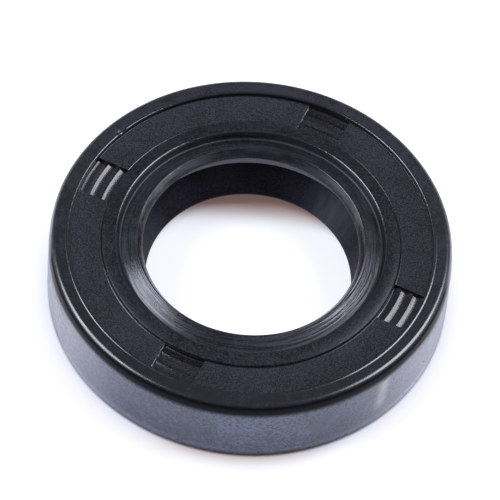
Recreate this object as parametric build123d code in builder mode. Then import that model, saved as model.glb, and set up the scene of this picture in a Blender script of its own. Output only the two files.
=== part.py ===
from build123d import *
from math import radians, tan
import os

os.makedirs("parts", exist_ok=True)

# Radial shaft seal for one shaft and one housing bore. +Z runs along the shaft towards the air side,
# and the origin is the centre of the oil-side face, on which the seal rests.

# Nominal size
shaft_d = 25.0
housing_d = 47.0
width = 10.0

# Rubber sleeve on the outside, with a lead-in at each end
press_allowance = 0.3
air_lead_in = 0.17
air_lead_height = 1.5
oil_lead_in = 0.23
oil_lead_height = 1.6
rim_edge_radius = 0.8

# Back face: a flat rim, a sunk ring and a raised inner ring
rim_width = 1.98
recess_depth = 0.5
recess_draft = 0.15
ring_step = 0.28
ring_draft = 0.09
ring_width = 1.71
ring_outer_radius = 0.12

# Pockets in the sunk ring, their floors turned with three concave flutes
pocket_count = 4
pocket_width = 5.2
pocket_angle = 68.0
pocket_depth = 0.5
flute_count = 3
flute_pitch = 1.52
flute_depth = 0.2
outer_flute_run = 1.29

# Groove and dust lip
groove_wall_run = 0.36
groove_depth = 1.03
groove_root_radius = 0.3
crest_run = 2.07
ring_inner_radius = 0.25
dust_clearance = 0.2
dust_bevel = 0.65
dust_bevel_depth = 1.05
dust_land = 0.15
hollow_depth = 2.05
hollow_root_radius = 0.35

# Main lip: its contact edge, its two cones and the flexible wall that carries it
lip_interference = 0.35
lip_height = 2.25
lip_land = 0.2
air_angle = 33.5
oil_angle = 45.0
hollow_run = 2.2
head_height = 0.9
head_run = 2.7
membrane_wall = 1.15
membrane_root_radius = 1.0
membrane_straight = 0.1
root_run = 1.5
root_cover = 0.6

# Garter spring and its groove
coil_d = 1.6
spring_seat_wall = 1.15
spring_offset = 0.5
spring_clearance = 0.03
mouth_height = 0.95
shoulder_height = 0.35

# Pressed steel case
case_wall = 1.0
case_bend = 0.4
sleeve_cover = 0.9
face_cover = 0.6
foot_height = 0.9
case_edge_gap = 0.82

# Radii that follow from the housing bore
seal_r = (housing_d + press_allowance) / 2
rim_outer_r = seal_r - air_lead_in
rim_inner_r = rim_outer_r - rim_width
recess_outer_r = rim_inner_r - recess_draft
case_outer_r = seal_r - sleeve_cover
case_inner_r = case_outer_r - case_wall

# Radii that follow from the shaft
lip_r = shaft_d / 2 - lip_interference
dust_r = shaft_d / 2 + dust_clearance
crest_r = dust_r + dust_bevel
groove_r = crest_r + crest_run
ring_inner_r = groove_r + groove_wall_run
ring_outer_r = ring_inner_r + ring_width
recess_inner_r = ring_outer_r + ring_draft
hollow_r = lip_r + hollow_run
head_r = lip_r + head_run
case_bore_r = ring_inner_r + case_edge_gap
root_r = case_bore_r + root_run

# Heights
recess_z = width - recess_depth
ring_edge_z = recess_z + ring_step
pocket_z = recess_z - pocket_depth
flange_top_z = recess_z - face_cover
flange_bottom_z = flange_top_z - case_wall
dust_z = width - dust_bevel_depth
hollow_z = width - hollow_depth
crease_z = lip_height + lip_land + (hollow_r - lip_r) / tan(radians(air_angle))
head_cone_r = lip_r + (lip_height - head_height) * tan(radians(oil_angle))
root_z = flange_bottom_z - root_cover
root_radius = min(membrane_root_radius, root_z - crease_z - membrane_straight)

# A flute is an arc across one pitch. The outermost is cut short by the wall of the sunk ring.
flute_r = (flute_pitch / 2) ** 2 / (2 * flute_depth) + flute_depth / 2
outer_flute_r = recess_outer_r - outer_flute_run + flute_pitch / 2

# The spring lies behind the contact edge, a little towards the air side
coil_r = coil_d / 2
spring_r = lip_r + spring_seat_wall + coil_r
spring_z = lip_height + spring_offset
seat_r = coil_r + spring_clearance
shoulder_z = spring_z + seat_r + shoulder_height


def round_corner(sketch, place, radius):
    """Round the corner of the section that lies at a place."""
    fillet(sketch.vertices().sort_by_distance(place)[0], radius)


# The case is an L section: a sleeve with a flange turned in at the air side.
with BuildSketch(Plane.XZ) as case_section:
    with BuildLine():
        Polyline(
            (case_outer_r, foot_height),
            (case_outer_r, flange_top_z),
            (case_bore_r, flange_top_z),
            (case_bore_r, flange_bottom_z),
            (case_inner_r, flange_bottom_z),
            (case_inner_r, foot_height),
            close=True,
        )
    make_face()
    round_corner(case_section, (case_outer_r, flange_top_z), case_bend + case_wall)
    round_corner(case_section, (case_inner_r, flange_bottom_z), case_bend)

with BuildPart() as steel_case:
    add(case_section.sketch)
    revolve(axis=Axis.Z)

with BuildPart() as garter_spring:
    with BuildSketch(Plane.XZ):
        with Locations((spring_r, spring_z)):
            Circle(coil_r)
    revolve(axis=Axis.Z)

# Half section of the rubber, moulded round the case
with BuildSketch(Plane.XZ) as rubber_section:
    # Outer sleeve and back wall
    with BuildLine():
        Polyline(
            (case_inner_r, 0),
            (seal_r - oil_lead_in, 0),
            (seal_r, oil_lead_height),
            (seal_r, width - air_lead_height),
            (rim_outer_r, width),
            (rim_inner_r, width),
            (recess_outer_r, recess_z),
            (recess_inner_r, recess_z),
            (recess_inner_r, flange_bottom_z),
            (case_inner_r, flange_bottom_z),
            close=True,
        )
    make_face()

    # Raised inner ring, groove and dust lip
    with BuildLine():
        Polyline(
            (recess_inner_r, recess_z),
            (ring_outer_r, ring_edge_z),
            (ring_inner_r, width),
            (groove_r, width - groove_depth),
            (crest_r, width),
            (dust_r, dust_z),
            (dust_r, dust_z - dust_land),
            (hollow_r, hollow_z),
            (recess_inner_r, hollow_z),
            close=True,
        )
    make_face()

    # Flexible wall and lip head
    with BuildLine():
        Polyline(
            (hollow_r, hollow_z),
            (hollow_r, crease_z),
            (lip_r, lip_height + lip_land),
            (lip_r, lip_height),
            (head_cone_r, head_height),
            (head_r, head_height),
            (head_r, shoulder_z),
            (hollow_r + membrane_wall, crease_z),
            (hollow_r + membrane_wall, root_z),
            (root_r - root_cover, root_z),
            (root_r, flange_bottom_z),
            (root_r, hollow_z),
            close=True,
        )
    make_face()

    # Spring groove with its narrower mouth
    with Locations((spring_r, spring_z)):
        Circle(seat_r, mode=Mode.SUBTRACT)
    with Locations((spring_r + coil_d, spring_z)):
        Rectangle(2 * coil_d, mouth_height, mode=Mode.SUBTRACT)

    add(case_section.sketch_local, mode=Mode.SUBTRACT)

    round_corner(rubber_section, (rim_outer_r, width), rim_edge_radius)
    round_corner(rubber_section, (ring_outer_r, ring_edge_z), ring_outer_radius)
    round_corner(rubber_section, (ring_inner_r, width), ring_inner_radius)
    round_corner(rubber_section, (groove_r, width - groove_depth), groove_root_radius)
    round_corner(rubber_section, (hollow_r, hollow_z), hollow_root_radius)
    round_corner(rubber_section, (hollow_r + membrane_wall, root_z), root_radius)

# Four sunk bars, cut out of a ring with a fluted underside
with BuildPart() as pockets:
    with BuildSketch(Plane.XY.offset(pocket_z)):
        with PolarLocations(recess_outer_r, pocket_count, start_angle=pocket_angle):
            Rectangle(recess_outer_r, pocket_width)
    extrude(amount=pocket_depth)
    with BuildSketch(Plane.XZ) as fluted_ring:
        for flute in range(flute_count):
            with Locations((outer_flute_r - flute * flute_pitch, pocket_z + flute_r)):
                Circle(flute_r)
        with BuildLine():
            Polyline(
                (recess_inner_r, pocket_z),
                (recess_outer_r, pocket_z),
                (recess_outer_r, recess_z),
                (recess_inner_r, recess_z),
                close=True,
            )
        make_face(mode=Mode.INTERSECT)
    revolve(axis=Axis.Z, mode=Mode.INTERSECT)

with BuildPart() as rubber_body:
    add(rubber_section.sketch)
    revolve(axis=Axis.Z)
    add(pockets.part, mode=Mode.SUBTRACT)

rubber_body.part.label = "rubber_body"
steel_case.part.label = "steel_case"
garter_spring.part.label = "garter_spring"
export_step(rubber_body.part, "parts/rubber_body.step")
export_step(steel_case.part, "parts/steel_case.step")
export_step(garter_spring.part, "parts/garter_spring.step")
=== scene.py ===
from functools import cached_property
from math import atan2, cos, hypot, pi, radians, sin, sqrt, tan

import bmesh
import bpy
from mathutils import Matrix, Vector


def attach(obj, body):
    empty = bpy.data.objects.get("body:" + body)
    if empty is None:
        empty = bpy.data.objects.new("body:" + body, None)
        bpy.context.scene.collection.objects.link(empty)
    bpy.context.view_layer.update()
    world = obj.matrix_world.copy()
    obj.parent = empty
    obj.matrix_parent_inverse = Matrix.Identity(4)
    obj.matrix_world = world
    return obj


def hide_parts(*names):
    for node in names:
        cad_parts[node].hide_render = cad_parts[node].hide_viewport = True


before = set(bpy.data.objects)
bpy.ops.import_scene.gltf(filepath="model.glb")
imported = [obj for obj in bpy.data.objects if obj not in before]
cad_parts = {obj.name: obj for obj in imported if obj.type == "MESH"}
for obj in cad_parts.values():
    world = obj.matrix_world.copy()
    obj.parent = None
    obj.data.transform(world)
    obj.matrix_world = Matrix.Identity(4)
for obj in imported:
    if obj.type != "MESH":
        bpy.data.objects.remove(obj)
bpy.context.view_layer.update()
scene = bpy.context.scene
MM = 0.001

# ---------------------------------------------------------------- sizes of the seal, in mm

# Outer wall with its two lead-ins, and the rim
SEAL_R = 23.65
WIDTH = 10.0
LEAD_IN_Z = 8.5
OIL_LEAD_IN_R = 23.42
OIL_LEAD_IN_Z = 1.6
RIM_OUTER_R = 23.48
RIM_INNER_R = 21.5

# Sunk ring, inner ring, groove and dust lip
RECESS_OUTER_R = 21.35
RECESS_INNER_R = 17.58
RECESS_Z = 9.5
RING_OUTER_R = 17.49
RING_INNER_R = 15.78
RING_EDGE_Z = 9.78
GROOVE_R = 15.42
GROOVE_Z = 8.97
CREST_R = 13.35
DUST_R = 12.7
DUST_Z = 8.95
DUST_LAND_Z = 8.8

# Pockets in the sunk ring, with fluted floors. Their cutter rises above the ring and spreads past their
# sides, by so many degrees, before it is cut to width.
POCKET_COUNT = 4
POCKET_WIDTH = 5.2
POCKET_ANGLE = 68.0
POCKET_RISE = 0.4
POCKET_SPREAD = 11
POCKET_Z = 9.0
POCKET_EDGE_Z = 9.07
FLUTE_CUSPS = (18.54, 20.06)
FLUTE_CUSP_Z = 9.2

# Hollow behind the dust lip, main lip and flexible wall
HOLLOW_R = 14.35
HOLLOW_Z = 7.95
CREASE_Z = 5.774
LIP_R = 12.15
LIP_Z = 2.25
LIP_LAND_Z = 2.45
HEAD_CONE_R = 13.5
HEAD_R = 14.85
HEAD_Z = 0.9
SHOULDER_Z = 3.93
MEMBRANE_R = 15.5
ROOT_Z = 7.3
ROOT_COVER_R = 17.5
ROOT_R = 18.1

# Space of the steel case
CASE_OUTER_R = 22.75
CASE_INNER_R = 21.75
CASE_BORE_R = 16.6
FLANGE_TOP_Z = 8.9
FLANGE_BOTTOM_Z = 7.9
CASE_FOOT_Z = 0.9

# Garter spring and its seat
SPRING_R = 14.1
SPRING_Z = 2.75
SEAT_R = 0.83
MOUTH_HALF = 0.475
COIL_R = 0.8
WIRE_R = 0.165

# Corners of the two moulded beads, as (radius, height, setback) from the edge that each one follows
RIM_BEAD = ((0.28, 0.0, 0.03), (0.14, 0.06, 0.06), (0.02, 0.05, 0.05), (-0.1, -0.05, 0.04))
STEP_BEAD = ((0.12, 0.0, 0.01), (0.05, 0.03, 0.02), (-0.02, -0.01, 0.01))

# Round along the mouth of each pocket
POCKET_ROUND = 0.2

# Vertices nearer than this, in metres, are one. Edges that fold less than this angle look smooth.
MERGE = 1e-7
SMOOTH_BELOW = radians(28)

# How finely the shapes are cut
SPIN_STEPS = 384
DOUBLINGS = 5
SEAT_STEPS = 20
FLUTE_STEPS = 8
POCKET_STEPS = 24
TURN_DOUBLINGS = 8
STEPS_PER_TURN = 10
WIRE_SIDES = 6


def add_object(name, data):
    made = bpy.data.objects.new(name, data)
    scene.collection.objects.link(made)
    return made


# ---------------------------------------------------------------- camera

CAMERA_RISE = radians(54.91)
CAMERA_ROLL = radians(-4.95)
CAMERA_DISTANCE = 0.68847
CAMERA_AIM = Vector((-0.000065, 0.005656, 0))


def place_camera():
    """Camera above the front of the seal, 55 degrees up and rolled a little."""
    back = Vector((0, -cos(CAMERA_RISE), sin(CAMERA_RISE)))
    up = Vector((0, sin(CAMERA_RISE), cos(CAMERA_RISE)))
    right = Vector((1, 0, 0))
    axis_x = right * cos(CAMERA_ROLL) - up * sin(CAMERA_ROLL)
    axis_y = right * sin(CAMERA_ROLL) + up * cos(CAMERA_ROLL)
    data = bpy.data.cameras.new("camera")
    data.sensor_width = 36
    data.lens = 417.1
    data.clip_start = 0.01
    data.clip_end = 50
    camera = add_object("camera", data)
    facing = Matrix((axis_x, axis_y, back)).transposed().to_4x4()
    camera.matrix_world = Matrix.Translation(CAMERA_AIM + back * CAMERA_DISTANCE) @ facing
    scene.camera = camera


place_camera()

# ---------------------------------------------------------------- shader maths


class Value:
    """A socket of a node tree. Operators on it add Math nodes to the tree."""

    def __init__(self, shader, socket):
        self.shader = shader
        self.socket = socket

    def math(self, operation, *others):
        return self.shader.node("ShaderNodeMath", {"operation": operation}, [self, *others])

    def reflected(self, operation, other):
        return self.shader.node("ShaderNodeMath", {"operation": operation}, [other, self])

    def __add__(self, other):
        return self.math("ADD", other)

    def __radd__(self, other):
        return self.reflected("ADD", other)

    def __sub__(self, other):
        return self.math("SUBTRACT", other)

    def __rsub__(self, other):
        return self.reflected("SUBTRACT", other)

    def __mul__(self, other):
        return self.math("MULTIPLY", other)

    def __rmul__(self, other):
        return self.reflected("MULTIPLY", other)

    def __truediv__(self, other):
        return self.math("DIVIDE", other)

    def __rtruediv__(self, other):
        return self.reflected("DIVIDE", other)

    def __pow__(self, other):
        return self.math("POWER", other)

    def __rpow__(self, other):
        return self.reflected("POWER", other)

    def sibling(self, output):
        """Another output of the same node."""
        return Value(self.shader, self.socket.node.outputs[output])

    def swing(self, amount):
        """A pattern centred on one half, moved to centre on nothing and made so many times as strong."""
        return (self - 0.5) * amount

    def step(self, low, high, to_low=0.0, to_high=1.0):
        """Smooth step from one level to another."""
        settings = {"interpolation_type": "SMOOTHSTEP", "clamp": True}
        return self.shader.node("ShaderNodeMapRange", settings, [self, low, high, to_low, to_high])

    def near(self, centre, half_width):
        """One at the centre, falling to nothing at the half width."""
        return (self - centre).math("ABSOLUTE").step(0.0, half_width, 1.0, 0.0)


class Shader:
    """A node tree under construction."""

    def __init__(self, owner):
        owner.use_nodes = True
        self.owner = owner
        self.tree = owner.node_tree
        self.tree.nodes.clear()

    def node(self, kind, settings=None, inputs=(), output=0):
        """One node: its settings are set first, then its inputs, by place or by name."""
        made = self.tree.nodes.new(kind)
        for key, value in (settings or {}).items():
            setattr(made, key, value)
        pairs = inputs.items() if isinstance(inputs, dict) else enumerate(inputs)
        for key, value in pairs:
            socket = made.inputs[key]
            if isinstance(value, Value):
                self.tree.links.new(value.socket, socket)
            elif value is not None:
                socket.default_value = (*value, 1.0) if socket.type == "RGBA" else value
        return Value(self, made.outputs[output]) if made.outputs else None

    @cached_property
    def place(self):
        """Object coordinates in metres."""
        return self.node("ShaderNodeTexCoord", output="Object")

    @cached_property
    def axes(self):
        return self.node("ShaderNodeSeparateXYZ", inputs=[self.place])

    @cached_property
    def x(self):
        return self.axes.sibling("X") / MM

    @cached_property
    def y(self):
        return self.axes.sibling("Y") / MM

    @cached_property
    def height(self):
        return self.axes.sibling("Z") / MM

    @cached_property
    def radius(self):
        """Distance from the shaft axis in mm."""
        return (self.x * self.x + self.y * self.y) ** 0.5

    @cached_property
    def bearing(self):
        """Angle about the shaft axis in degrees, counted from the front, from -180 to 180."""
        return self.x.math("ARCTAN2", self.y * -1.0) * (180 / pi)

    @cached_property
    def around(self):
        """Angle from the front to either side, from 0 to 180 degrees."""
        return self.bearing.math("ABSOLUTE")

    def vector(self, x=0.0, y=0.0, z=0.0):
        return self.node("ShaderNodeCombineXYZ", inputs=[x, y, z])

    def noise(self, scale, detail=3.0, roughness=0.55, at=None, distortion=0.0):
        """Cloudy pattern from 0 to 1; the scale is in waves per metre of object space."""
        inputs = {"Vector": at or self.place, "Scale": scale, "Detail": detail,
                  "Roughness": roughness, "Distortion": distortion}
        return self.node("ShaderNodeTexNoise", {"noise_dimensions": "3D"}, inputs)

    def rings(self, per_mm, detail):
        """Pattern of fine marks that run round the shaft axis, with so many waves in each mm."""
        across = (self.radius - self.height * 0.8) * per_mm
        at = self.vector(across, self.x / self.radius * 2.5, self.y / self.radius * 2.5)
        return self.noise(1.0, detail, 0.65, at=at)

    def rays(self, *kinds):
        """One for rays of the named kinds, and nothing for all others."""
        path = self.node("ShaderNodeLightPath")
        found, *others = [path.sibling(f"Is {kind} Ray") for kind in kinds]
        for other in others:
            found = found.math("MAXIMUM", other)
        return found

    def mix(self, factor, first, second):
        """Mix of two colours."""
        inputs = {0: factor, 6: first, 7: second}
        return self.node("ShaderNodeMix", {"data_type": "RGBA"}, inputs, output=2)

    def mix_shaders(self, factor, first, second):
        return self.node("ShaderNodeMixShader", inputs=[factor, first, second])

    def bump(self, height, distance, normal=None):
        """Bump with a height from 0 to 1 and its depth in mm."""
        inputs = {"Strength": 1.0, "Distance": distance * MM, "Height": height, "Normal": normal}
        return self.node("ShaderNodeBump", inputs=inputs)

    def principled(self, **sockets):
        """A Principled shader, by socket name."""
        inputs = {name.replace("_", " "): value for name, value in sockets.items()}
        return self.node("ShaderNodeBsdfPrincipled", inputs=inputs)

    def output(self, surface):
        self.node("ShaderNodeOutputMaterial", inputs=[surface])
        return self.owner


def new_shader(name):
    return Shader(bpy.data.materials.new(name))


# ---------------------------------------------------------------- rubber finishes

BLACK = (0.005, 0.005, 0.0075)
SHEEN_TINT = (0.78, 0.81, 1.0)
COOL_WHITE = (0.84, 0.87, 1.0)
RIM_WHITE = (0.9, 0.92, 1.0)
POCKET_WHITE = (0.88, 0.88, 0.98)
RUBBER_IOR = 1.55
RIPPLE_PITCH = 0.8


def skin(s, colour, gloss, roughness, tint=SHEEN_TINT, **sockets):
    """Shader of a black rubber skin, by its colour, specular level, roughness and the cast of its shine."""
    return s.principled(Base_Color=colour, Roughness=roughness, Specular_IOR_Level=gloss,
                        Specular_Tint=tint, IOR=RUBBER_IOR, **sockets)


def rubber(name, light, roughness, gloss, dark=BLACK, grain=0.2, contrast=1.0, depth=0.004, clouds=0.5,
           turned=0.0, turned_depth=0.0, tint=SHEEN_TINT):
    """Black moulded rubber.

    dark and light are the colours of its bare and its filmed spots, and gloss is its specular level.
    grain is the size of the skin's grain in mm, contrast is how strongly it shows and depth is how deep
    it is in mm. clouds is how blotchy the skin is. turned is how strongly fine marks show that run round
    the shaft axis, turned_depth is how deep they are in mm, and tint is the cast of the shine.
    """
    s = new_shader(name)
    fine = s.noise(1000.0 / grain, 2.0, 0.6)
    middle = s.noise(300.0 / grain, 2.0, 0.6)
    cloud = s.noise(150.0, 4.0, 0.6)
    tone = fine.swing(3.0 * contrast) + middle.swing(0.5 * contrast) + cloud.swing(1.6 * clouds) + 0.35
    normal = s.bump(fine * 0.85 + middle * 0.15, depth)
    if turned:
        marks = s.rings(6.0, 3.0)
        tone = tone + marks.swing(4.0 * turned)
        normal = s.bump(marks, turned_depth, normal=normal)
    rough = cloud.step(0.3, 0.7, roughness - 0.04, roughness + 0.05)
    return s.output(skin(s, s.mix(tone, dark, light), gloss, rough, tint, Normal=normal))


def edge_rubber():
    """Small moulded edges: glossy and a little ragged, but dull at the inner ring's step on the right."""
    s = new_shader("edge_rubber")
    fine = s.noise(5000.0, 2.0, 0.6)
    cloud = s.noise(150.0, 4.0, 0.6)
    colour = s.mix(fine.swing(3.6) + cloud.swing(0.8) + 0.35, BLACK, (0.010, 0.010, 0.014))
    ragged = s.bump(s.noise(1700.0, 3.0, 0.6), 0.03)
    glossy = skin(s, colour, 0.85, cloud.step(0.3, 0.7, 0.14, 0.23), COOL_WHITE, Normal=ragged)
    dull = skin(s, colour, 0.3, 0.45, Normal=ragged)
    on_right = s.bearing.step(12.0, 35.0) * s.bearing.step(60.0, 95.0, 0.85, 0.4)
    return s.output(s.mix_shaders(on_right * s.radius.near(17.6, 0.5), glossy, dull))


def groove_rubber():
    """Cone of the groove: turned ripples on the right, and a shine that is worn away in streaks."""
    s = new_shader("groove_rubber")
    cloud = s.noise(260.0, 4.0, 0.65)
    fine = s.rings(9.0, 3.0)
    grain = s.noise(4200.0, 2.0, 0.6)
    tone = fine.swing(3.0) + cloud.swing(1.4) + grain.swing(3.0) + 0.3
    colour = s.mix(tone, (0.002, 0.002, 0.003), (0.022, 0.023, 0.030))

    right = (s.x / s.radius).step(-0.3, 0.5) * (s.y / s.radius).step(-0.3, 0.1, 1.0, 0.0)
    wander = s.rings(2.0, 2.0).swing(3.2) - 0.14
    ripples = (s.radius * (2 * pi / RIPPLE_PITCH) + wander).math("SINE") * (right * 0.34 + 0.03) + 0.5
    normal = s.bump(fine * 0.8 + grain * 0.2, 0.016, normal=s.bump(ripples, 0.10))

    glossy = skin(s, colour, 0.62, cloud.step(0.35, 0.7, 0.12, 0.2), COOL_WHITE, Normal=normal)
    dull = skin(s, colour, 0.5, 0.42, Normal=normal)
    root = s.radius.step(15.12, 15.32) + s.radius.step(14.5, 15.0) * 0.25
    plain = right * (1.0 - s.bearing.near(58.0, 26.0)) * 0.7
    streaks = s.rings(3.6, 3.0).step(0.44, 0.58) * (right * 0.35 + 0.5)
    worn = cloud.step(0.5, 0.75) * 0.35 + streaks + root + plain - 0.08
    return s.output(s.mix_shaders(worn, glossy, dull))


def bore_rubber():
    """Inside of the lip: black, with a greyer brushed patch on either flank that is partly a smudge of film
    and partly painted light.
    """
    s = new_shader("bore_rubber")
    fine = s.noise(5000.0, 2.0, 0.6)
    cloud = s.noise(150.0, 4.0, 0.6)
    colour = s.mix(fine.swing(3.0) + cloud.swing(2.0) + 0.4, BLACK, (0.024, 0.022, 0.038))
    along = s.vector(s.bearing * 0.3, s.height * 0.2)
    brushed = s.noise(1.0, 3.0, 0.6, at=along).step(0.3, 0.7, 0.55, 1.0)
    # Painted light: a lit band on either flank of the bore, as a greyer brushed colour, partly also a
    # smudge of film.
    lit_flanks = s.bearing.near(135.0, 24.0) + s.bearing.near(-108.0, 20.0) * 0.2
    colour = s.mix(lit_flanks * brushed, colour, (0.066, 0.068, 0.092))
    rough = cloud.step(0.3, 0.7, 0.3, 0.39)
    return s.output(skin(s, colour, 0.17, rough, Normal=s.bump(fine, 0.004)))


def bevel_rubber():
    """Cut face of the dust lip: fine turned rings, and a grey scuff on both flanks that is partly painted
    light, where the lamps light them.
    """
    s = new_shader("bevel_rubber")
    cloud = s.noise(420.0, 4.0, 0.65)
    marks = s.rings(7.0, 4.0)
    colour = s.mix(marks.swing(4.5) + cloud.swing(0.8) + 0.35, BLACK, (0.030, 0.031, 0.036))
    # Grey on both flanks: a scuff texture, painted lighter where the lamps light the flanks.
    lit_flanks = s.around.near(114.0, 36.0) + s.bearing.near(-112.0, 30.0) * 0.5
    scuff_and_light = lit_flanks * cloud.step(0.25, 0.6, 0.4, 1.0) * marks.step(0.38, 0.6, 0.25, 1.0)
    colour = s.mix(scuff_and_light, colour, (0.105, 0.108, 0.118))
    rough = cloud.step(0.3, 0.7, 0.2, 0.3)
    return s.output(skin(s, colour, 1.0, rough, Normal=s.bump(marks, 0.05)))


def wall_colour(s, clouds, blots, spots, fine):
    """Colour of the ground outer wall: grey-blue film, frosted in front, painted pale on the flanks as
    sheen, with painted highlight and shade low down and a painted lamp reflection at the right front.
    """
    frost = (spots.step(0.46, 0.62) * 0.6 + blots.step(0.45, 0.62) * 0.4) * clouds.step(0.36, 0.6)
    frost = frost * s.bearing.near(3.0, 45.0) * (s.height.step(2.0, 6.5) * 0.45 + 0.55)
    # Lighter towards the top; a painted highlight line at 1.15 mm where the lower lead-in meets the wall;
    # painted shade at the foot, where the wall turns under towards its shadow.
    bands = s.height.step(1.5, 7.0) * 0.16 + s.height.near(1.15, 0.4) * 0.35
    bands = bands - s.height.step(0.15, 0.7, 0.5, 0.0)
    # Painted sheen: the flanks, where the white surroundings shine on the wall at a glancing angle, are
    # painted lighter and then pale.
    lit_flanks = s.around.step(28.0, 62.0) * s.around.step(105.0, 145.0, 1.0, 0.3)
    film = clouds.step(0.3, 0.75) * 0.24 + frost * 1.15 + bands + lit_flanks * 0.3 + 0.06
    film = film + spots.swing(1.6) + fine.swing(3.4)
    colour = s.mix(film, (0.026, 0.037, 0.076), (0.120, 0.150, 0.250))

    # Pale painted sheen for the flanks, mottled.
    sheen_mottle = clouds * 0.8 + spots.swing(2.4) + fine.swing(1.6) + s.noise(420.0, 4.0, 0.7) * 0.9 - 0.35
    painted_sheen = s.mix(sheen_mottle, (0.215, 0.225, 0.300), (0.385, 0.395, 0.480))
    colour = s.mix(lit_flanks * 0.85, colour, painted_sheen)

    along = s.vector(s.bearing * 0.3 + s.height * 0.45, s.height * 0.06)
    scratches = s.noise(5.0, 4.0, 0.75, at=along).step(0.52, 0.8)
    colour = s.mix(scratches * 0.55, colour, (0.25, 0.27, 0.34))

    # Painted reflection of a lamp at the right front of the wall, broken into streaks along its grain.
    across = s.vector(s.bearing * 0.12, s.height * 4.5)
    ridges = s.noise(1.0, 3.0, 0.7, at=across).step(0.3, 0.65, 0.35, 1.0)
    painted_lamp_reflection = (s.bearing - s.height * 0.25).near(43.4, 3.2) * ridges
    painted_lamp_reflection = painted_lamp_reflection * s.height.step(1.8, 4.5) * s.height.step(8.3, 7.6)
    return s.mix(painted_lamp_reflection * 0.72, colour, (0.68, 0.70, 0.72))


def outside_rubber():
    """Outside of the seal: the ground wall, then a dark lead-in, then a satin rim."""
    s = new_shader("outside_rubber")
    clouds = s.noise(150.0, 4.0, 0.65, distortion=0.6)
    fine = s.noise(4300.0, 2.0, 0.6)
    spots = s.noise(2600.0, 3.0, 0.65)
    blots = s.noise(800.0, 3.0, 0.6)

    wall = skin(s, wall_colour(s, clouds, blots, spots, fine), 0.5, clouds.step(0.3, 0.7, 0.24, 0.34),
                Normal=s.bump(spots, 0.002), Sheen_Weight=1.0, Sheen_Roughness=0.22, Sheen_Tint=SHEEN_TINT)
    black = s.mix(clouds + fine.swing(2.0), (0.002, 0.002, 0.005), (0.008, 0.008, 0.012))
    lead_in = skin(s, black, 0.04, 0.28)
    # Painted sheen: at the left and right sides the lead-in takes the lighter wall finish. Near 72 degrees
    # either side of the front, the upper wall takes some of the lead-in's black.
    lit_sides = s.around.near(90.0, 22.0)
    dimmed = s.height.step(6.0, 8.2) * s.around.near(72.0, 18.0) * 0.5
    lower = s.mix_shaders(s.height.step(7.8, 8.9) * (1.0 - lit_sides * 0.8) + dimmed, wall, lead_in)

    # Painted shade and light: the rim's colour is darker at the front and lighter towards the back.
    tone = s.around.step(50.0, 130.0, -0.05, 0.6) + fine.swing(3.2) + blots.swing(2.4) + clouds.swing(1.0)
    colour = s.mix(tone, (0.002, 0.002, 0.004), (0.018, 0.018, 0.026))
    normal = s.bump(fine, 0.0012)
    rough = clouds.step(0.3, 0.7, 0.16, 0.22) + s.height.step(9.86, 9.99, 0.09, 0.0)
    polished = skin(s, colour, 1.0, rough, RIM_WHITE, Normal=normal)
    satin = skin(s, colour, 0.62, 0.3, Normal=normal)
    rim = s.mix_shaders(clouds.step(0.3, 0.7, 0.15, 0.4), polished, satin)
    return s.output(s.mix_shaders(s.height.step(9.66, 9.84), lower, rim))


FINISHES = {
    "outside": outside_rubber(),
    "edge": edge_rubber(),
    "recess": rubber("recess_rubber", (0.026, 0.026, 0.034), 0.46, 0.36, dark=(0.001, 0.001, 0.002),
                     grain=0.17, contrast=2.9, depth=0.009, clouds=0.3),
    "ring": rubber("ring_rubber", (0.027, 0.027, 0.036), 0.32, 0.25, dark=(0.003, 0.003, 0.004),
                   grain=0.17, contrast=1.7, depth=0.0025, clouds=0.3),
    "groove": groove_rubber(),
    "bevel": bevel_rubber(),
    "hollow": rubber("hollow_rubber", (0.024, 0.024, 0.040), 0.26, 1.0, clouds=1.0, turned=0.5),
    "bore": bore_rubber(),
    "pocket": rubber("pocket_rubber", (0.022, 0.022, 0.031), 0.16, 0.58, contrast=1.6, depth=0.010,
                     turned=0.8, turned_depth=0.018, tint=POCKET_WHITE),
    # Painted glint: a near-white colour on the pocket walls that face the right lamp, standing in for its
    # highlight on them.
    "glint": rubber("painted_glint_rubber", (0.66, 0.67, 0.72), 0.4, 0.5, dark=(0.03, 0.03, 0.03),
                    grain=0.5, contrast=2.5, depth=0.01),
    "oil_side": rubber("oil_side_rubber", (0.026, 0.026, 0.034), 0.42, 0.5, contrast=1.4),
}
ZONES = list(FINISHES)

# ---------------------------------------------------------------- mesh helpers


def new_piece(name, bm):
    mesh = bpy.data.meshes.new(name)
    bm.to_mesh(mesh)
    bm.free()
    return add_object(name, mesh)


def radius_of(point):
    return hypot(point.x, point.y)


def everything(bm):
    return bm.verts[:] + bm.edges[:] + bm.faces[:]


def spin(bm, geom, angle, steps, axis=(0, 0, 1), dvec=(0, 0, 0)):
    bmesh.ops.spin(bm, geom=geom, cent=(0, 0, 0), axis=axis, dvec=dvec, angle=angle, steps=steps,
                   use_merge=False, use_duplicate=False)


def turn(bm, verts, angle):
    """Turns vertices about the shaft axis."""
    bmesh.ops.rotate(bm, verts=verts, cent=(0, 0, 0), matrix=Matrix.Rotation(angle, 3, "Z"))


def double(bm, times, move):
    """Doubles the mesh a few times. move shifts each new copy, given how many there are so far."""
    for done in range(times):
        copy = bmesh.ops.duplicate(bm, geom=everything(bm))["geom"]
        move([part for part in copy if isinstance(part, bmesh.types.BMVert)], 2 ** done)
    bmesh.ops.remove_doubles(bm, verts=bm.verts, dist=MERGE)


# ---------------------------------------------------------------- rubber body


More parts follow.
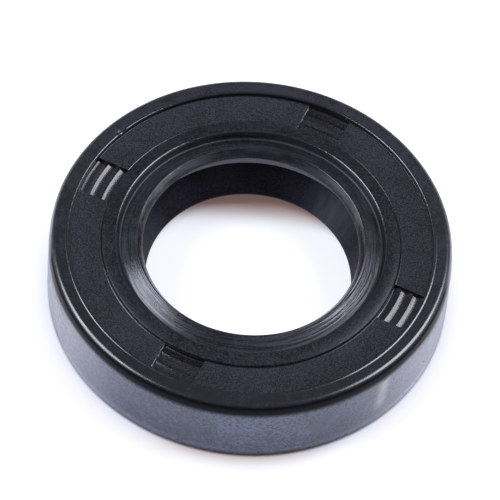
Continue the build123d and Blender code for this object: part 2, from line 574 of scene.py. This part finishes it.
def section(corners):
    """Closed wire section in the XZ plane. Each corner is (radius, height, setback of its rounding)."""
    bm = bmesh.new()
    verts = [bm.verts.new((r * MM, 0, z * MM)) for r, z, _ in corners]
    for first, second in zip(verts, verts[1:] + verts[:1]):
        bm.edges.new((first, second))
    for vert, (_, _, setback) in zip(verts, corners):
        if setback:
            segments = max(3, min(10, round(setback * 16)))
            bmesh.ops.bevel(bm, geom=[vert], offset=setback * MM, offset_type="OFFSET",
                            affect="VERTICES", segments=segments, profile=0.5, material=-1)
    return bm


def seat_arc():
    """Corners of the spring seat, from its lower to its upper lip, round the side of the bore."""
    opening = atan2(MOUTH_HALF, sqrt(SEAT_R ** 2 - MOUTH_HALF ** 2))
    sweep = 2 * pi - 2 * opening
    angles = [-opening - sweep * i / SEAT_STEPS for i in range(SEAT_STEPS + 1)]
    return [(SPRING_R + SEAT_R * cos(angle), SPRING_Z + SEAT_R * sin(angle), 0) for angle in angles]


def bead(radius, height, corners):
    """Corners of a moulded bead that follows an edge at this radius and height."""
    return [(radius + out, height + up, setback) for out, up, setback in corners]


def rubber_section():
    """Half section of the rubber: outer wall, back face, dust lip, main lip, then the space of the case."""
    return section([
        (CASE_INNER_R, 0, 0), (OIL_LEAD_IN_R, 0, 0.1), (SEAL_R, OIL_LEAD_IN_Z, 0.3),
        (SEAL_R, LEAD_IN_Z, 0.35), (RIM_OUTER_R, WIDTH, 0.7), *bead(RIM_INNER_R, WIDTH, RIM_BEAD),
        (RECESS_OUTER_R, RECESS_Z, 0.03), *bead(RECESS_INNER_R, RECESS_Z, STEP_BEAD),
        (RING_OUTER_R, RING_EDGE_Z, 0.15), (RING_INNER_R, WIDTH, 0.24), (GROOVE_R, GROOVE_Z, 0.3),
        (CREST_R, WIDTH, 0.12), (DUST_R, DUST_Z, 0.03), (DUST_R, DUST_LAND_Z, 0.02),
        (HOLLOW_R, HOLLOW_Z, 0.3), (HOLLOW_R, CREASE_Z, 0.1), (LIP_R, LIP_LAND_Z, 0),
        (LIP_R, LIP_Z, 0), (HEAD_CONE_R, HEAD_Z, 0.05), (HEAD_R, HEAD_Z, 0.08),
        (HEAD_R, SPRING_Z - MOUTH_HALF, 0), *seat_arc(), (HEAD_R, SPRING_Z + MOUTH_HALF, 0),
        (HEAD_R, SHOULDER_Z, 0.1), (MEMBRANE_R, CREASE_Z, 0.2), (MEMBRANE_R, ROOT_Z, 1.0),
        (ROOT_COVER_R, ROOT_Z, 0.1), (ROOT_R, FLANGE_BOTTOM_Z, 0), (CASE_BORE_R, FLANGE_BOTTOM_Z, 0),
        (CASE_BORE_R, FLANGE_TOP_Z, 0), (CASE_OUTER_R, FLANGE_TOP_Z, 1.4), (CASE_OUTER_R, CASE_FOOT_Z, 0),
        (CASE_INNER_R, CASE_FOOT_Z, 0),
    ])


def spin_round(bm):
    """Spins a section through one sector, then doubles the sector round the shaft axis."""
    sector = 2 * pi / 2 ** DOUBLINGS
    spin(bm, bm.verts[:] + bm.edges[:], sector, SPIN_STEPS // 2 ** DOUBLINGS)
    double(bm, DOUBLINGS, lambda verts, count: turn(bm, verts, sector * count))
    bmesh.ops.recalc_face_normals(bm, faces=bm.faces)


def pocket_corners():
    """Outline of a pocket in the XZ plane: walls that reach above the ring, and a floor of three flutes."""
    top = RECESS_Z + POCKET_RISE
    corners = [(RECESS_INNER_R, top), (RECESS_INNER_R, POCKET_EDGE_Z)]
    bounds = (RECESS_INNER_R, *FLUTE_CUSPS, RECESS_OUTER_R)
    half_pitch = (FLUTE_CUSPS[1] - FLUTE_CUSPS[0]) / 2
    for flute, (start, end) in enumerate(zip(bounds, bounds[1:])):
        centre = FLUTE_CUSPS[0] + (2 * flute - 1) * half_pitch
        for i in range(1, FLUTE_STEPS + 1):
            r = start + (end - start) * i / FLUTE_STEPS
            corners.append((r, POCKET_Z + (FLUTE_CUSP_Z - POCKET_Z) * ((r - centre) / half_pitch) ** 2))
    corners.append((RECESS_OUTER_R, top))
    return corners


def pocket_bar(azimuth):
    """Closed mesh of one pocket: a spun sector of the ring, cut down to a straight bar."""
    bm = bmesh.new()
    bm.faces.new([bm.verts.new((r * MM, 0, z * MM)) for r, z in pocket_corners()])
    spread = radians(POCKET_SPREAD)
    turn(bm, bm.verts, -spread)
    spin(bm, bm.faces[:], 2 * spread, POCKET_STEPS)
    for side in (-1, 1):
        cut = bmesh.ops.bisect_plane(bm, geom=everything(bm), dist=1e-8, clear_outer=True,
                                     plane_co=(0, side * POCKET_WIDTH / 2 * MM, 0), plane_no=(0, side, 0))
        rim = [part for part in cut["geom_cut"] if isinstance(part, bmesh.types.BMEdge)]
        bmesh.ops.contextual_create(bm, geom=rim)
    bmesh.ops.recalc_face_normals(bm, faces=bm.faces)
    turn(bm, bm.verts, radians(azimuth))
    mesh = bpy.data.meshes.new("pocket_bar")
    bm.to_mesh(mesh)
    bm.free()
    return mesh


def pocket_cutter():
    """The bars of all the pockets as one piece."""
    bm = bmesh.new()
    for index in range(POCKET_COUNT):
        bar = pocket_bar(POCKET_ANGLE + 360 / POCKET_COUNT * index)
        bm.from_mesh(bar)
        bpy.data.meshes.remove(bar)
    return new_piece("pocket_cutter", bm)


def cut_pockets(ring):
    """Cuts the pockets out of the spun ring and gives the result as a bmesh."""
    cutter = pocket_cutter()
    cut = ring.modifiers.new("pockets", "BOOLEAN")
    cut.operation = "DIFFERENCE"
    cut.solver = "EXACT"
    cut.object = cutter
    bpy.context.view_layer.update()
    done = bpy.data.meshes.new_from_object(ring.evaluated_get(bpy.context.evaluated_depsgraph_get()))
    ring.modifiers.clear()
    bpy.data.objects.remove(cutter)
    bm = bmesh.new()
    bm.from_mesh(done)
    bpy.data.meshes.remove(done)
    bmesh.ops.remove_doubles(bm, verts=bm.verts, dist=MERGE)
    bmesh.ops.dissolve_degenerate(bm, edges=bm.edges, dist=MERGE)
    return bm


def soften_pocket_edges(bm):
    """Rounds the mouth of each pocket, where its side walls meet the sunk ring."""
    mouth = []
    for edge in bm.edges:
        walls = [face for face in edge.link_faces if abs(face.normal.z) < 0.1]
        if len(edge.link_faces) != 2 or len(walls) != 1:
            continue
        lit_sides = [vert.co / MM for vert in edge.verts]
        level = all(abs(end.z - RECESS_Z) < 1e-3 for end in lit_sides)
        inside = all(RECESS_INNER_R - 0.02 < radius_of(end) < RECESS_OUTER_R + 0.02 for end in lit_sides)
        outwards = Vector((lit_sides[0].x + lit_sides[1].x, lit_sides[0].y + lit_sides[1].y, 0)).normalized()
        if level and inside and abs(walls[0].normal.dot(outwards)) < 0.7:
            mouth.append(edge)
    bmesh.ops.bevel(bm, geom=mouth, offset=POCKET_ROUND * MM, offset_type="OFFSET", affect="EDGES",
                    segments=6, profile=0.5, material=-1, clamp_overlap=True)


def nick_rim(bm, azimuth=139.6, reach=0.5, depth=0.2):
    """Presses a small nick into the bead along the inner edge of the rim."""
    angle = radians(azimuth)
    place = Vector((RIM_INNER_R * cos(angle), RIM_INNER_R * sin(angle), WIDTH)) * MM
    for vert in bm.verts:
        gap = (vert.co - place).length / (reach * MM)
        if gap < 1:
            vert.co.z -= depth * MM * (1 - gap * gap)


# Borders between the finishes, and the way that the pocket walls face which take the painted glint
BEAD_INNER_R = RIM_INNER_R - 0.1
STEP_INNER_R = RECESS_INNER_R - 0.02
LANDS_R = 18.0
GLINT_WAY = Vector((0.93, -0.37, 0))


def zone_of(face):
    """Name of the finish of a face of the rubber body, from where it lies and which way it looks."""
    centre = face.calc_center_median() / MM
    normal = face.normal
    r, z = radius_of(centre), centre.z
    outward = (normal.x * centre.x + normal.y * centre.y) / r
    flat = abs(normal.z) >= 0.98
    if r > CASE_OUTER_R + 0.05 and outward > 0.3 or r > RIM_INNER_R + 0.2 and normal.z > 0.3:
        return "outside"
    if r > RECESS_OUTER_R + 0.01 and z > RECESS_Z:
        return "edge"
    in_pocket = RECESS_INNER_R + 0.16 < r < RECESS_OUTER_R - 0.05 and z > RECESS_Z - 0.3
    # Pocket walls that face the right lamp take the painted glint.
    if in_pocket and not flat and normal.dot(GLINT_WAY) > 0.25:
        return "glint"
    if STEP_INNER_R < r < BEAD_INNER_R and POCKET_Z - 0.1 < z < RECESS_Z - 0.12 and normal.z > -0.5:
        return "pocket"
    if STEP_INNER_R < r < BEAD_INNER_R and z > RECESS_Z - 0.13:
        return "recess" if flat else "edge"
    if RING_INNER_R + 0.12 < r < LANDS_R and z > RECESS_Z - 0.05:
        return "ring"
    if RING_INNER_R - 0.12 < r < LANDS_R and z > WIDTH - 0.2:
        return "edge"
    if CREST_R - 0.02 < r < CASE_BORE_R - 0.1 and z > GROOVE_Z - 0.1:
        return "groove"
    if DUST_R - 0.05 < r < CREST_R + 0.02 and z > DUST_Z:
        return "bevel"
    if HOLLOW_R - 0.6 < r < HEAD_R + 0.15 and z > CREASE_Z - 0.1 and outward < 0.2:
        return "hollow"
    if r < HEAD_R + 0.15 and z > LIP_Z - 0.05 and outward < 0.2:
        return "bore"
    return "oil_side"


def build_rubber_body():
    bm = rubber_section()
    spin_round(bm)
    piece = new_piece("rubber_ring", bm)
    bm = cut_pockets(piece)
    soften_pocket_edges(bm)
    nick_rim(bm)
    for face in bm.faces:
        face.smooth = True
        face.material_index = ZONES.index(zone_of(face))
    for edge in bm.edges:
        edge.smooth = edge.calc_face_angle(0) < SMOOTH_BELOW
    bm.to_mesh(piece.data)
    bm.free()
    for finish in FINISHES.values():
        piece.data.materials.append(finish)
    return piece


rubber_body = build_rubber_body()
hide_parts("rubber_body")
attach(rubber_body, "root")

# ---------------------------------------------------------------- garter spring and case


def build_spring():
    """Close-wound coil: a wire section screwed along a line, then bent into a ring."""
    bm = bmesh.new()
    bmesh.ops.create_circle(bm, cap_ends=False, segments=WIRE_SIDES, radius=WIRE_R * MM,
                            matrix=Matrix.Translation((0, (COIL_R - WIRE_R) * MM, 0)))
    pitch = 2 * pi * SPRING_R * MM / 2 ** TURN_DOUBLINGS
    spin(bm, bm.verts[:] + bm.edges[:], 2 * pi, STEPS_PER_TURN, axis=(1, 0, 0),
         dvec=(pitch / STEPS_PER_TURN, 0, 0))
    double(bm, TURN_DOUBLINGS, lambda verts, count: bmesh.ops.translate(
        bm, verts=verts, vec=(pitch * count, 0, 0)))
    for vert in bm.verts:
        along, out, up = vert.co
        angle = along / (SPRING_R * MM)
        r = SPRING_R * MM + out
        vert.co = (r * cos(angle), r * sin(angle), up + SPRING_Z * MM)
    bmesh.ops.remove_doubles(bm, verts=bm.verts, dist=10 * MERGE)
    bmesh.ops.recalc_face_normals(bm, faces=bm.faces)
    for face in bm.faces:
        face.smooth = True
    return new_piece("garter_coil", bm)


def steel(name, dark, light, roughness, per_mm):
    """Bright drawn steel with a breath of oil film, and fine marks along the draw, so many in each mm."""
    s = new_shader(name)
    clouds = s.noise(220.0, 4.0, 0.6)
    marks = s.noise(1.0, 4.0, 0.7, at=s.vector(s.radius * per_mm, s.height * per_mm, s.bearing * 0.05))
    colour = s.mix(clouds.step(0.3, 0.7) * 0.7 + marks * 0.3, dark, light)
    rough = clouds.step(0.3, 0.7, roughness - 0.06, roughness + 0.08)
    bare = s.principled(Base_Color=colour, Metallic=1.0, Roughness=rough, Normal=s.bump(marks, 0.004))
    return s.output(bare)


garter_coil = build_spring()
garter_coil.data.materials.append(steel("spring_wire", (0.42, 0.41, 0.40), (0.62, 0.61, 0.59), 0.26, 3.0))
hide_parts("garter_spring")
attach(garter_coil, "root")

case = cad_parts["steel_case"]
case.data.materials.clear()
case.data.materials.append(steel("case_steel", (0.34, 0.34, 0.345), (0.5, 0.5, 0.505), 0.36, 8.0))

# ---------------------------------------------------------------- floor, world and lamps

FLOOR_R = 4000.0
FLOOR_Z = -0.02


def build_floor():
    """Pale floor. Seen directly or in a reflection it is white, with the seal's own shadow, and with
    painted shadow: a dark contact ring, warm shade inside the bore behind the lip, and a glow painted
    weaker close round the seal.
    """
    bm = bmesh.new()
    bmesh.ops.create_circle(bm, cap_ends=True, segments=96, radius=FLOOR_R * MM,
                            matrix=Matrix.Translation((0, 0, FLOOR_Z * MM)))
    floor = new_piece("floor", bm)
    s = new_shader("white_floor")
    away = s.radius
    in_bore = away.step(17.0, 18.0, 1.0, 0.0)
    behind = (s.y + s.x * s.x * 0.01).step(9.2, 12.6)
    front = (s.y / away * -1.0).step(0.85, 1.0)
    contact_shadow = away.near(23.35, 0.4)

    # Painted shadow: warm shade inside the bore behind the lip, and a dark ring where the seal stands.
    colour = s.mix(behind * in_bore * 0.8, (0.76, 0.75, 0.74), (0.62, 0.48, 0.45))
    colour = s.mix(contact_shadow * 0.7, colour, (0.10, 0.10, 0.11))
    sheet = s.node("ShaderNodeBsdfDiffuse", inputs={"Color": colour})

    # The glow is painted with the seal's shade: weaker and warm behind the bore, bluish and weaker close
    # round the seal, warm at its front, and nearly none at the contact ring.
    inside = s.mix(behind, (0.44, 0.46, 0.52), (0.13, 0.08, 0.07))
    close = s.mix(front, (0.20, 0.23, 0.32), (0.16, 0.09, 0.07))
    middle = s.mix(front, (0.38, 0.38, 0.40), (0.26, 0.26, 0.28))
    outside = s.mix(away.step(23.3, 25.2), close, middle)
    outside = s.mix(away.step(24.5, 31.0), outside, (0.6, 0.6, 0.6))
    outside = s.mix(contact_shadow * 0.9, outside, (0.01, 0.01, 0.012))
    seen = s.rays("Camera", "Glossy", "Transmission")
    glow = s.mix(seen, (0, 0, 0), s.mix(in_bore, outside, inside))
    light = s.node("ShaderNodeEmission", inputs={"Color": glow, "Strength": 1.0})
    floor.data.materials.append(s.output(s.node("ShaderNodeAddShader", inputs=[sheet, light])))


def build_world():
    """White to the camera. Its light falls off towards the front, and reflections find white low down."""
    scene.world = bpy.data.worlds.new("studio")
    s = Shader(scene.world)
    way = s.node("ShaderNodeSeparateXYZ", inputs=[s.node("ShaderNodeTexCoord", output="Generated")])
    across = way.sibling("X").math("ABSOLUTE")
    back = way.sibling("Y")
    up = way.sibling("Z")
    mirrored = s.rays("Glossy", "Transmission")
    level = (back * 0.35 + up * 0.94).step(0.3, 0.85, 0.13, 0.27)
    level = level + across.step(0.6, 0.95) * up.step(0.1, 0.5, 1.0, 0.0) * 0.8
    horizon = mirrored * up.step(0.0, 0.12, 1.0, 0.0)
    behind = mirrored * back.step(0.5, 0.9) * up.step(0.2, 0.5, 0.25, 0.0)
    sides = mirrored * across.step(0.5, 0.85) * up.step(0.05, 0.5, 1.0, 0.0)
    for glow in (horizon, behind, sides, s.rays("Camera")):
        level = level.math("MAXIMUM", glow)
    light = s.node("ShaderNodeBackground", inputs={"Color": (0.90, 0.92, 1.0), "Strength": level})
    s.node("ShaderNodeOutputWorld", inputs=[light])


def softbox(name, azimuth, elevation, width, height, radiance, colour):
    """Soft rectangular lamp one metre from the seal. Its place and size are angles, seen from the seal."""
    data = bpy.data.lights.new(name, "AREA")
    data.shape = "RECTANGLE"
    data.size = 2 * tan(radians(width / 2))
    data.size_y = 2 * tan(radians(height / 2))
    data.energy = radiance * pi * data.size * data.size_y
    data.color = colour
    a, e = radians(azimuth), radians(elevation)
    way = Vector((cos(a) * cos(e), sin(a) * cos(e), sin(e)))
    facing = way.to_track_quat("Z", "Y").to_matrix().to_4x4()
    add_object(name, data).matrix_world = Matrix.Translation(way) @ facing


build_floor()
build_world()
softbox("left_softbox", 177, 49.8, 34, 28, 8.2, (0.95, 0.96, 1.0))
softbox("right_softbox", 18.6, 53.1, 33, 28, 8.2, (0.97, 0.97, 1.0))

scene.view_settings.view_transform = "Standard"
